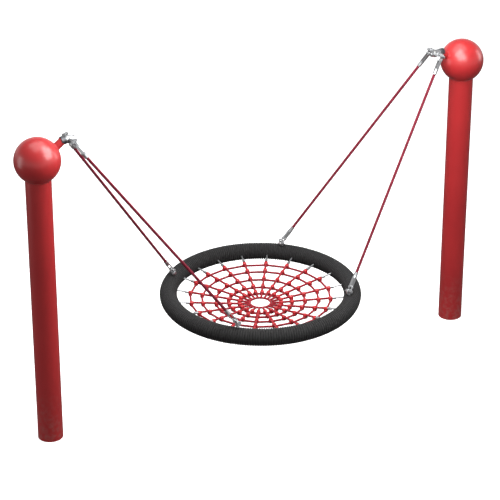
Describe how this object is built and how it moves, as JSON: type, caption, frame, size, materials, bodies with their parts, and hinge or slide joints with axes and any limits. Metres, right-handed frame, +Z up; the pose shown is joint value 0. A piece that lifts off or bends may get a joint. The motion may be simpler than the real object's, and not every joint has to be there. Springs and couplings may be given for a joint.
{
  "type": "nest swing",
  "caption": "Round rope net seat in a padded ring, hung on ropes between two ball-topped posts, swinging about pivots on slanting hanger arms.",
  "frame": {"origin": "on the ground, midway between the two posts, below the middle of the net", "axes": "+X from the left post to the right post, along the swing's pivot line; +Y to the rear; +Z up"},
  "size_m": [3.086, 1.1998, 1.87],
  "materials": {
    "painted_steel": "gloss",
    "galvanised_steel": "satin",
    "dark_steel": "satin",
    "foam": "matte",
    "ring_rope": "matte",
    "net_rope": "matte",
    "connector": "gloss",
    "bush": "satin"
  },
  "bodies": {
    "frame": {"left_post_tube": "painted_steel", "left_base_plate": "galvanised_steel", "left_ball_cap": "painted_steel", "left_hanger_arm": "painted_steel", "left_bearing_boss": "dark_steel", "left_pivot_stud": "galvanised_steel", "left_thrust_washers": "galvanised_steel", "left_pivot_nut": "galvanised_steel", "right_post_tube": "painted_steel", "right_base_plate": "galvanised_steel", "right_ball_cap": "painted_steel", "right_hanger_arm": "painted_steel", "right_bearing_boss": "dark_steel", "right_pivot_stud": "galvanised_steel", "right_thrust_washers": "galvanised_steel", "right_pivot_nut": "galvanised_steel"},
    "nest": {"left_crosshead": "galvanised_steel", "left_crosshead_bushes": "bush", "right_crosshead": "galvanised_steel", "right_crosshead_bushes": "bush", "left_rear_top_shackle": "galvanised_steel", "left_rear_top_terminal": "galvanised_steel", "left_rear_suspension_rope": "net_rope", "left_rear_bottom_terminal": "galvanised_steel", "left_rear_bottom_shackle": "galvanised_steel", "left_rear_ring_eye": "galvanised_steel", "left_front_top_shackle": "galvanised_steel", "left_front_top_terminal": "galvanised_steel", "left_front_suspension_rope": "net_rope", "left_front_bottom_terminal": "galvanised_steel", "left_front_bottom_shackle": "galvanised_steel", "left_front_ring_eye": "galvanised_steel", "right_rear_top_shackle": "galvanised_steel", "right_rear_top_terminal": "galvanised_steel", "right_rear_suspension_rope": "net_rope", "right_rear_bottom_terminal": "galvanised_steel", "right_rear_bottom_shackle": "galvanised_steel", "right_rear_ring_eye": "galvanised_steel", "right_front_top_shackle": "galvanised_steel", "right_front_top_terminal": "galvanised_steel", "right_front_suspension_rope": "net_rope", "right_front_bottom_terminal": "galvanised_steel", "right_front_bottom_shackle": "galvanised_steel", "right_front_ring_eye": "galvanised_steel", "shackle_bolts": "galvanised_steel", "shackle_nuts": "galvanised_steel", "terminal_pins": "galvanised_steel", "ring_core_tube": "galvanised_steel", "ring_foam_pad": "foam", "ring_rope_wrap": "ring_rope", "spoke_anchor_bosses": "galvanised_steel", "net_hub_ring": "net_rope", "net_spoke_ropes": "net_rope", "spoke_end_fittings": "galvanised_steel", "cross_connectors": "connector", "circle_rope_1": "net_rope", "circle_rope_2": "net_rope", "circle_rope_3": "net_rope", "circle_rope_4": "net_rope", "circle_rope_5": "net_rope"}
  },
  "joints": [
    {"name": "swing", "type": "hinge", "parent": "frame", "child": "nest", "pos_m": [0, 0, 1.824], "axis": [1, 0, 0], "range_deg": [-60, 60]}
  ]
}
